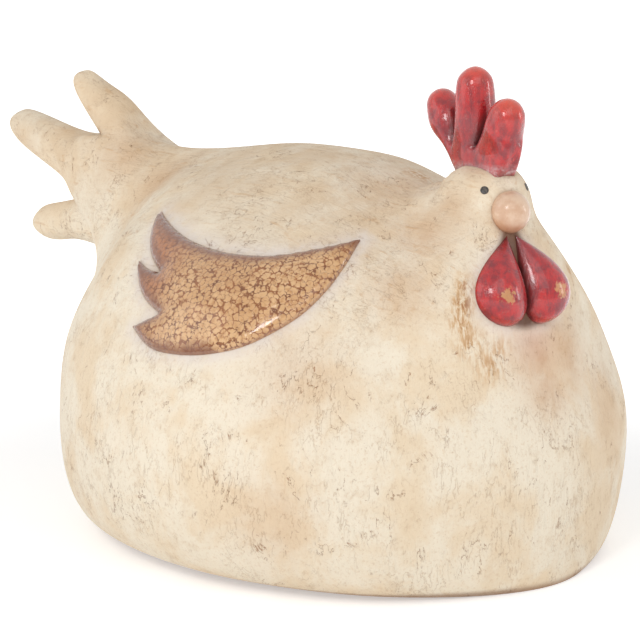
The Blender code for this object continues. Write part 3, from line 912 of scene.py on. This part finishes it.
def paint_comb(comb):
    """Stores how near each point is to a lobe's tip, to a crease and to the foot of the comb."""
    points = mesh_points(comb)
    tips = [on_head(0.0, lobe[2], lobe[3]) for lobe in (BACK_LOBE, MIDDLE_LOBE, FRONT_LOBE)]
    crotches = (BACK_CROTCH, FRONT_CROTCH)
    creases = [on_head(0.0, behind, over + CREASE_RISE) for behind, over in crotches]
    dust_top = on_head(0.0, 0.0, CROWN_TOP + DUST_RISE)[2]
    foot = np.clip((dust_top - points[:, 2]) / DUST_DEPTH, 0.0, 1.0)
    # The tips get painted highlight and the creases painted shade
    for name, places, reach in (("tip", tips, TIP_HIGHLIGHT_REACH), ("crease", creases, CREASE_SHADE_REACH)):
        store(comb, name, np.max([nearness(points, place, reach) for place in places], axis=0))
    store(comb, "foot", foot)


def paint_wattle(wattle, side):
    """Stores the painted shade at the ends of a wattle and the worn spot on its front."""
    points = mesh_points(wattle)
    top = nearness(points, wattle_centre(side, 0.0), WATTLE_TOP_REACH)
    foot = nearness(points, wattle_centre(side, 1.0), WATTLE_FOOT_REACH)
    worn = wattle_centre(side, WORN_SHARE) + wattle_front(side) * WATTLE_HALF_DEPTH
    store(wattle, "tip", np.zeros(len(points)))
    # Painted shade at the top of the wattle under the beak and at its foot
    store(wattle, "crease", np.maximum(top, foot * 0.5))
    store(wattle, "foot", np.zeros(len(points)))
    store(wattle, "worn", nearness(points, worn, WORN_REACH))


def colour(red, green, blue):
    """A colour given as it shows on a screen, from 0 to 255."""
    shown = [c / 255.0 for c in (red, green, blue)]
    return (*(c / 12.92 if c <= 0.04045 else ((c + 0.055) / 1.055) ** 2.4 for c in shown), 1.0)


class Nodes:
    """The nodes of a world or material."""

    def __init__(self, owner):
        owner.use_nodes = True
        self.tree = owner.node_tree

    def node(self, kind, sockets, **settings):
        made = self.tree.nodes.new(kind)
        for name, value in settings.items():
            setattr(made, name, value)
        for name, value in sockets.items():
            self.give(value, made.inputs[name])
        return made

    def give(self, value, socket):
        if isinstance(value, bpy.types.NodeSocket):
            self.tree.links.new(value, socket)
        else:
            socket.default_value = value

    def maths(self, operation, a, b):
        return self.node("ShaderNodeMath", {0: a, 1: b}, operation=operation).outputs[0]

    def background_share(self):
        """One for the rays that see the background: camera, mirror and glass rays."""
        path = self.node("ShaderNodeLightPath", {}).outputs
        share = path["Is Camera Ray"]
        for name in ("Is Glossy Ray", "Is Transmission Ray"):
            share = self.maths("MAXIMUM", share, path[name])
        return share


class Paint(Nodes):
    """A material, with a short method for each thing that its nodes do."""

    def __init__(self, name):
        self.material = bpy.data.materials.new(name)
        super().__init__(self.material)
        self.shader = self.tree.nodes["Principled BSDF"]
        self.place = self.node("ShaderNodeTexCoord", {}).outputs["Object"]

    def noise(self, scale, detail=4.0, roughness=0.55, warp=0.0):
        """Noise from nothing to one, stretched along the axes where it is given three scales."""
        sockets = {"Detail": detail, "Roughness": roughness, "Distortion": warp}
        if isinstance(scale, tuple):
            stretched = {0: self.place, 1: scale}
            place = self.node("ShaderNodeVectorMath", stretched, operation="MULTIPLY").outputs[0]
            sockets.update({"Scale": 1.0, "Vector": place})
        else:
            sockets.update({"Scale": scale, "Vector": self.place})
        return self.node("ShaderNodeTexNoise", sockets).outputs[0]

    def cells(self, scale, feature, place=None):
        sockets = {"Scale": scale, "Vector": place or self.place}
        return self.node("ShaderNodeTexVoronoi", sockets, feature=feature).outputs["Distance"]

    def warped(self, scale, amount, place=None):
        """The place, pushed about by noise."""
        place = place or self.place
        noise = self.node("ShaderNodeTexNoise", {"Scale": scale, "Detail": 3.0, "Vector": place})
        sockets = {0: noise.outputs[1], 1: (0.5, 0.5, 0.5)}
        centred = self.node("ShaderNodeVectorMath", sockets, operation="SUBTRACT")
        pushed = {0: centred.outputs[0], 1: (amount, amount, amount), 2: place}
        return self.node("ShaderNodeVectorMath", pushed, operation="MULTIPLY_ADD").outputs[0]

    def step(self, value, low, high, start=0.0, end=1.0):
        """A smooth step from one value to another as the input goes from low to high."""
        sockets = {"Value": value, 1: low, 2: high, 3: start, 4: end}
        return self.node("ShaderNodeMapRange", sockets, interpolation_type="SMOOTHSTEP").outputs[0]

    def thread(self, value, width):
        """Thin winding lines where a noise passes through its middle value."""
        centred = self.maths("SUBTRACT", value, 0.5)
        away = self.node("ShaderNodeMath", {0: centred}, operation="ABSOLUTE").outputs[0]
        return self.step(away, width, 0.3 * width)

    def sum(self, a, b):
        return self.maths("ADD", a, b)

    def times(self, a, b):
        return self.maths("MULTIPLY", a, b)

    def most(self, a, b):
        return self.maths("MAXIMUM", a, b)

    def mix(self, share, first, second):
        sockets = {0: share, 6: first, 7: second}
        return self.node("ShaderNodeMix", sockets, data_type="RGBA").outputs[2]

    def tint(self, base, tone, share, strength):
        """Lays a tone over a colour where the share is high."""
        return self.mix(self.times(share, strength), base, tone)

    def stored(self, name):
        return self.node("ShaderNodeAttribute", {}, attribute_name=name).outputs["Fac"]

    def height(self):
        return self.node("ShaderNodeSeparateXYZ", {0: self.place}).outputs[2]

    def hidden(self, distance):
        """One deep in a corner and nothing in the open."""
        sockets = {"Distance": distance}
        open_sky = self.node("ShaderNodeAmbientOcclusion", sockets, samples=8).outputs["AO"]
        return self.step(open_sky, 0.35, 0.95, 1.0, 0.0)

    def bump(self, height, distance, before=None):
        sockets = {"Height": height, "Distance": distance, "Strength": 1.0}
        if before:
            sockets["Normal"] = before
        return self.node("ShaderNodeBump", sockets).outputs[0]

    def finish(self, base, roughness, normal, **fixed):
        """Joins the shader up, with its constant sockets given by name."""
        self.give(base, self.shader.inputs["Base Color"])
        self.give(roughness, self.shader.inputs["Roughness"])
        self.give(normal, self.shader.inputs["Normal"])
        for name, value in fixed.items():
            self.shader.inputs[name.replace("_", " ")].default_value = value
        return self.material


IVORY = colour(240, 228, 207)
CREAM = colour(234, 214, 185)
BUFF = colour(214, 186, 152)
OCHRE = colour(205, 160, 108)
RUST = colour(160, 102, 56)
WASH = colour(196, 148, 104)
CRACK = colour(146, 84, 38)
HAIR = colour(164, 118, 74)
HAZE = colour(232, 222, 214)
# Mauve tone of the painted shade under the wattles
SHADE_UNDER_WATTLES_TONE = colour(212, 178, 160)
# Painted shade in the groove between the wattles
GROOVE_SHADE = colour(92, 56, 40)
CORNER_SHADE = colour(140, 98, 68)

RED = colour(194, 32, 34)
MAROON = colour(138, 20, 32)
DARK_FLECK = colour(112, 26, 34)
PINK_FLECK = colour(214, 124, 112)
# Painted highlight on the comb's tips
TIP_HIGHLIGHT = colour(238, 92, 62)
# Painted shade in the comb's creases and at the wattles' ends
CREASE_SHADE = colour(112, 30, 42)
DUST = colour(206, 172, 172)
RED_CORNER_SHADE = colour(78, 44, 42)
BARE_CLAY = colour(206, 152, 98)

PALE_CELL = colour(220, 176, 126)
TAN_CELL = colour(206, 158, 106)
CELL_FLECK = colour(192, 140, 88)
REAR_CELL = colour(168, 96, 44)
DARK_NET = colour(108, 56, 20)
BROWN_NET = colour(150, 90, 42)
# Dark rim of the wing: partly glaze colour, partly painted shade on the rounded edge
BROWN_RIM_AND_EDGE_SHADE = colour(122, 64, 28)
DUSTY_EDGE = colour(168, 134, 120)

PEACH = colour(224, 192, 164)
DEEP_PEACH = colour(208, 168, 138)
# Painted shade under the beak
PEACH_UNDERSIDE_SHADE = colour(186, 124, 84)
PEACH_CORNER_SHADE = colour(150, 98, 66)
DARK_EYE = colour(44, 40, 38)
GREY_EYE = colour(84, 76, 70)


def slip_ground(p, mottle, grain):
    """Ivory and cream slip, mottled and worn to buff clay on the back."""
    base = p.mix(p.step(p.noise(26.0, 5.0, 0.6, 0.4), 0.40, 0.62), IVORY, CREAM)
    worn = p.times(p.step(p.height(), 0.135, 0.205), p.step(p.noise(30.0, 6.0, 0.65), 0.30, 0.62))
    base = p.tint(base, BUFF, worn, 0.60)
    base = p.tint(base, OCHRE, p.step(p.noise(13.0, 5.0, 0.6, 0.6), 0.54, 0.76), 0.06)
    base = p.tint(base, BUFF, p.step(mottle, 0.52, 0.72), 0.34)
    return p.tint(base, BUFF, p.step(grain, 0.52, 0.70), 0.36)


def slip_stains(p, base):
    """Washes and stains on the chest, painted shade under the wattles, haze round the glazed forms,
    and painted shade in the groove between the wattles.
    """
    cloudy = p.step(p.noise(55.0, 5.0, 0.6), 0.25, 0.60, 0.45, 0.85)
    base = p.tint(base, WASH, p.stored("wash"), cloudy)
    fibres = p.step(p.noise((430.0, 430.0, 70.0), 4.0, 0.65, 0.3), 0.36, 0.60)
    stain = p.times(p.stored("stain"), fibres)
    base = p.mix(p.step(stain, 0.02, 0.55, 0.0, 0.70), base, OCHRE)
    base = p.mix(p.step(stain, 0.35, 0.90, 0.0, 0.80), base, RUST)
    # Painted shade under the wattles, in a mauve tone
    base = p.tint(base, SHADE_UNDER_WATTLES_TONE, p.stored("shade_under_wattles"), 0.60)
    hazy = p.times(p.stored("haze"), p.step(p.noise(160.0, 4.0, 0.6), 0.30, 0.60, 0.45, 1.0))
    base = p.tint(base, HAZE, hazy, 0.80)
    # Painted shade in the groove between the wattles
    return p.mix(p.step(p.stored("groove_shade"), 0.05, 0.60, 0.0, 0.90), base, GROOVE_SHADE)


def slip_hairs(p, low_body, high_body):
    """Hairlines, upright on the belly and lengthwise on the back."""
    upright = p.thread(p.noise((210.0, 210.0, 64.0), 3.0, 0.6, 0.2), 0.016)
    level = p.thread(p.noise((250.0, 66.0, 250.0), 3.0, 0.6, 0.2), 0.016)
    hairs = p.sum(p.times(upright, low_body), p.times(level, high_body))
    return p.times(hairs, p.step(p.noise(42.0, 4.0, 0.6), 0.44, 0.60))


def slip_marks(p):
    """Winding cracks, short ticks and pits."""
    winding = p.noise((64.0, 64.0, 30.0), 5.0, 0.62, 0.6)
    broken = p.step(p.noise(52.0, 3.0, 0.5), 0.50, 0.60)
    broken = p.times(broken, p.step(p.noise(300.0, 2.0), 0.42, 0.54))
    cracks = p.times(p.thread(winding, 0.0065), broken)
    small = p.thread(p.noise((170.0, 170.0, 95.0), 4.0, 0.62, 0.5), 0.009)
    ticks = p.times(small, p.step(p.noise(150.0, 2.0, 0.5), 0.54, 0.66))
    pits = p.step(p.cells(480.0, "F1"), 0.17, 0.08)
    pits = p.times(pits, p.step(p.noise(60.0, 2.0), 0.50, 0.60))
    return p.most(p.times(cracks, 0.90), p.most(p.times(ticks, 0.28), p.times(pits, 0.30)))


def slip_material():
    """Matt cream slip over buff clay, with stains, trowel marks, pits and fine cracks."""
    p = Paint("slip_body")
    low_body = p.step(p.height(), 0.150, 0.120)
    high_body = p.step(p.height(), 0.120, 0.150)
    mottle = p.noise(75.0, 6.0, 0.65)
    grain = p.noise(620.0, 3.0, 0.6)
    upright = p.noise((190.0, 190.0, 26.0), 4.0, 0.6, 0.5)
    lengthwise = p.noise((260.0, 34.0, 260.0), 4.0, 0.6, 0.4)
    streaks = p.times(p.step(upright, 0.60, 0.72), p.step(p.noise(22.0, 3.0), 0.46, 0.62))
    hairs = slip_hairs(p, low_body, high_body)
    marks = slip_marks(p)

    base = slip_ground(p, mottle, grain)
    base = p.tint(base, OCHRE, p.times(streaks, low_body), 0.18)
    base = p.tint(base, OCHRE, p.times(p.step(lengthwise, 0.58, 0.72), high_body), 0.38)
    base = slip_stains(p, base)
    base = p.tint(base, HAIR, hairs, 0.30)
    base = p.tint(base, CRACK, marks, 0.72)
    base = p.tint(base, CORNER_SHADE, p.hidden(0.006), 0.70)

    rough = p.step(mottle, 0.35, 0.70, 0.56, 0.74)
    trowelled = p.sum(p.times(upright, low_body), p.times(lengthwise, high_body))
    normal = p.bump(p.noise(24.0, 3.0), 0.0035)
    normal = p.bump(trowelled, 0.0007, normal)
    normal = p.bump(p.sum(mottle, p.times(grain, 0.25)), 0.0005, normal)
    normal = p.bump(p.times(p.sum(marks, p.times(hairs, 0.5)), -1.0), 0.0002, normal)
    return p.finish(base, rough, normal, IOR=1.42, Specular_IOR_Level=0.35)


def red_material(name, worn):
    """Glossy red glaze, with painted highlight on the tips, painted shade in the creases, and dust
    at the foot.
    """
    p = Paint(name)
    blotch = p.noise((240.0, 240.0, 130.0), 5.0, 0.62, 0.4)
    fine = p.noise(520.0, 4.0, 0.65)
    base = p.mix(p.step(blotch, 0.34, 0.62), MAROON, RED)
    base = p.tint(base, DARK_FLECK, p.step(fine, 0.50, 0.70), 0.34)
    base = p.tint(base, PINK_FLECK, p.step(p.noise(300.0, 5.0, 0.75), 0.56, 0.70), 0.30)
    # Painted highlight on the tips of the lobes
    base = p.tint(base, TIP_HIGHLIGHT, p.stored("tip"), 0.75)
    # Painted shade in the creases
    base = p.tint(base, CREASE_SHADE, p.stored("crease"), 0.60)
    dusty = p.times(p.stored("foot"), p.step(p.noise(260.0, 4.0, 0.7), 0.42, 0.62, 0.25, 1.0))
    base = p.tint(base, DUST, dusty, 0.88)
    base = p.tint(base, RED_CORNER_SHADE, p.hidden(0.009), 0.85)
    rough = p.step(fine, 0.40, 0.70, 0.14, 0.30)
    if worn:
        bare = p.step(p.sum(p.stored("worn"), p.times(p.noise(420.0, 4.0, 0.7), 1.6)), 1.50, 1.68)
        base = p.tint(base, BARE_CLAY, bare, 0.80)
        rough = p.sum(rough, p.times(bare, 0.2))
    normal = p.bump(blotch, 0.0006)
    normal = p.bump(p.noise((420.0, 420.0, 170.0), 5.0, 0.65, 0.4), 0.0002, normal)
    return p.finish(base, rough, normal, IOR=1.45, Coat_Weight=0.6, Coat_Roughness=0.06)


def wing_cells(p, patch, rear):
    """High in the middle of a glaze cell and low in the net between the cells."""
    place = p.warped(700.0, 0.0016, p.warped(260.0, 0.0034))
    inwards = p.cells(330.0, "DISTANCE_TO_EDGE", place)
    corner = p.step(p.cells(330.0, "F1", place), 0.42, 0.78)
    width = p.sum(p.step(patch, 0.30, 0.70, 0.10, 0.26), p.times(rear, 0.10))
    ragged = p.times(p.sum(p.noise(520.0, 3.0, 0.6), -0.34), 2.2)
    return p.sum(p.sum(p.maths("DIVIDE", inwards, width), ragged), p.times(corner, -0.55))


def wing_material():
    """Glossy reactive glaze: tan cells in a brown net, and a dark plain rim that is partly painted
    shade.
    """
    p = Paint("brown_glaze")
    patch = p.noise(110.0, 4.0, 0.65)
    along = p.node("ShaderNodeSeparateXYZ", {0: p.place}).outputs[1]
    rear = p.step(p.sum(along, p.times(p.noise(45.0, 3.0), 0.03)), -0.056, -0.020)
    rim = p.sum(p.stored("from_dark_edge"), p.times(p.noise(150.0, 4.0), 0.005))
    rim = p.step(rim, 0.0094, 0.0036)
    blob = wing_cells(p, patch, rear)
    cell = p.mix(p.step(p.noise(40.0, 3.0), 0.38, 0.62), PALE_CELL, TAN_CELL)
    cell = p.mix(p.step(p.noise(420.0, 3.0, 0.6), 0.45, 0.70), cell, CELL_FLECK)
    cell = p.tint(cell, REAR_CELL, rear, 0.85)
    net = p.mix(p.step(patch, 0.35, 0.65), DARK_NET, BROWN_NET)
    base = p.mix(p.step(blob, 0.02, 0.75), net, cell)
    # Dark rim: partly glaze colour, partly painted shade on the rounded edge
    base = p.tint(base, BROWN_RIM_AND_EDGE_SHADE, rim, 0.85)
    base = p.mix(p.step(p.stored("from_edge"), 0.0012, 0.0003, 0.0, 0.42), base, DUSTY_EDGE)
    rough = p.step(p.noise(350.0, 4.0, 0.6), 0.40, 0.70, 0.12, 0.24)
    normal = p.bump(p.noise(70.0, 3.0), 0.0008)
    normal = p.bump(p.step(blob, 0.2, 1.6), 0.00012, normal)
    return p.finish(base, rough, normal, IOR=1.45, Coat_Weight=0.6, Coat_Roughness=0.06)


def beak_material():
    """Satin peach slip, with painted shade in orange-brown underneath."""
    p = Paint("beak_clay")
    # Painted shade on the underside of the beak
    low = p.step(p.sum(p.height(), p.times(p.noise(160.0, 4.0, 0.6), 0.006)), 0.1900, 0.1820)
    base = p.mix(p.step(p.noise(140.0, 5.0, 0.6), 0.36, 0.64), PEACH, DEEP_PEACH)
    base = p.tint(base, PEACH_UNDERSIDE_SHADE, low, 0.7)
    base = p.tint(base, PEACH_CORNER_SHADE, p.hidden(0.004), 0.6)
    rough = p.step(p.noise(300.0, 3.0), 0.35, 0.65, 0.38, 0.52)
    normal = p.bump(p.noise(210.0, 4.0, 0.6), 0.0004)
    return p.finish(base, rough, normal, IOR=1.45, Coat_Weight=0.6, Coat_Roughness=0.16)


def eye_material():
    """Half-gloss dark grey glaze with paler specks."""
    p = Paint("eye_glaze")
    base = p.mix(p.step(p.noise(900.0, 3.0), 0.4, 0.65), DARK_EYE, GREY_EYE)
    rough = p.step(p.noise(1200.0, 2.0), 0.4, 0.6, 0.30, 0.48)
    return p.finish(base, rough, p.bump(p.noise(1500.0, 2.0), 0.0001), IOR=1.5)


def dress(obj, material):
    """Gives a piece its material and makes it stand for the figure's solid."""
    obj.data.materials.clear()
    obj.data.materials.append(material)
    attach(obj, "root")
    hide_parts("rooster")


def make_world():
    """A sky that looks white and lights the figure softly."""
    world = bpy.data.worlds.new("studio")
    bpy.context.scene.world = world
    nodes = Nodes(world)
    nodes.tree.nodes.clear()
    lit = nodes.node("ShaderNodeBackground", {"Color": WHITE, "Strength": SKY_LIGHT}).outputs[0]
    seen = nodes.node("ShaderNodeBackground", {"Color": WHITE, "Strength": 1.0}).outputs[0]
    mixed = {0: nodes.background_share(), 1: lit, 2: seen}
    mixed = nodes.node("ShaderNodeMixShader", mixed).outputs[0]
    nodes.node("ShaderNodeOutputWorld", {0: mixed})


def floor_material():
    """Pale and matt, glowing to white where no shadow falls."""
    p = Paint("pale_floor")
    for name, value in FLOOR_SURFACE.items():
        p.give(value, p.shader.inputs[name])
    away = p.node("ShaderNodeVectorMath", {0: p.place}, operation="LENGTH").outputs["Value"]
    spread = {"Value": away, **FLOOR_GLOW}
    spread = p.node("ShaderNodeMapRange", spread, interpolation_type="SMOOTHSTEP").outputs[0]
    seen = {"Value": p.background_share(), "To Min": FLOOR_UNSEEN_GLOW}
    seen = p.node("ShaderNodeMapRange", seen).outputs[0]
    p.give(p.times(spread, seen), p.shader.inputs["Emission Strength"])
    return p.material


def make_floor():
    mesh = bpy.data.meshes.new("floor")
    signs = ((-1, -1), (1, -1), (1, 1), (-1, 1))
    corners = [(x * FLOOR_HALF, y * FLOOR_HALF, 0.0) for x, y in signs]
    mesh.from_pydata(corners, [], [(0, 1, 2, 3)])
    mesh.materials.append(floor_material())
    floor = linked("floor", mesh)
    floor.location.z = -FLOOR_GAP


def stand(name, data, place, facing):
    """Puts a lamp or camera in its place, turned the way that it faces."""
    obj = linked(name, data)
    obj.location = place
    obj.rotation_mode = "QUATERNION"
    obj.rotation_quaternion = facing.to_track_quat("-Z", "Y")
    return obj


def make_lamp(name, place, size, power):
    light = bpy.data.lights.new(name, "AREA")
    light.shape = "RECTANGLE"
    light.size, light.size_y = size
    light.energy = power
    stand(name, light, place, Vector(LAMP_TARGET) - Vector(place))


def make_camera(shift):
    azimuth, elevation = math.radians(CAMERA_AZIMUTH), math.radians(CAMERA_ELEVATION)
    level = math.cos(elevation)
    back = Vector((math.sin(azimuth) * level, -math.cos(azimuth) * level, math.sin(elevation)))
    data = bpy.data.cameras.new("camera")
    data.lens = CAMERA_LENS
    data.sensor_width = SENSOR_WIDTH
    place = Vector(CAMERA_TARGET) + shift + back * CAMERA_DISTANCE
    bpy.context.scene.camera = stand("camera", data, place, -back)


def shift_to_frame(core):
    """How far the figure's middle has to move along its length to lie on the solid's middle."""
    low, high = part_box("rooster")
    length = mesh_points(core)[:, 1]
    return Vector((0.0, 0.5 * (low.y + high.y) - 0.5 * (length.min() + length.max()), 0.0))


def make_figure():
    """Makes every piece of the figure and returns how far they were moved into the frame."""
    core = make_core()
    shift = shift_to_frame(core)
    skin_tree = BVHTree.FromObject(core, bpy.context.evaluated_depsgraph_get())
    eyes = [make_eye("eye_l", 1, skin_tree), make_eye("eye_r", -1, skin_tree)]
    wings = [make_wing("wing_l", 1, skin_tree), make_wing("wing_r", -1, skin_tree)]
    wattles = [make_wattle("wattle_l", 1), make_wattle("wattle_r", -1)]
    beak = make_beak()
    comb = make_comb()
    hollow_out(core, [make_hollow(), make_drain()])
    paint_skin(core, wattles)
    paint_comb(comb)
    paint_wattle(wattles[0], 1)
    paint_wattle(wattles[1], -1)
    pieces = [core, comb, beak, *wattles, *wings, *eyes]
    for piece in pieces:
        piece.data.transform(Matrix.Translation(shift))
    dress(core, slip_material())
    dress(comb, red_material("red_glaze", False))
    dress(beak, beak_material())
    worn_red = red_material("worn_red_glaze", True)
    brown = wing_material()
    dark = eye_material()
    for wattle in wattles:
        dress(wattle, worn_red)
    for wing in wings:
        dress(wing, brown)
    for eye in eyes:
        dress(eye, dark)
    return shift


def main():
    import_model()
    shift = make_figure()
    make_world()
    make_floor()
    for lamp in LAMPS:
        make_lamp(*lamp)
    make_camera(shift)
    bpy.context.scene.view_settings.view_transform = "Standard"


main()
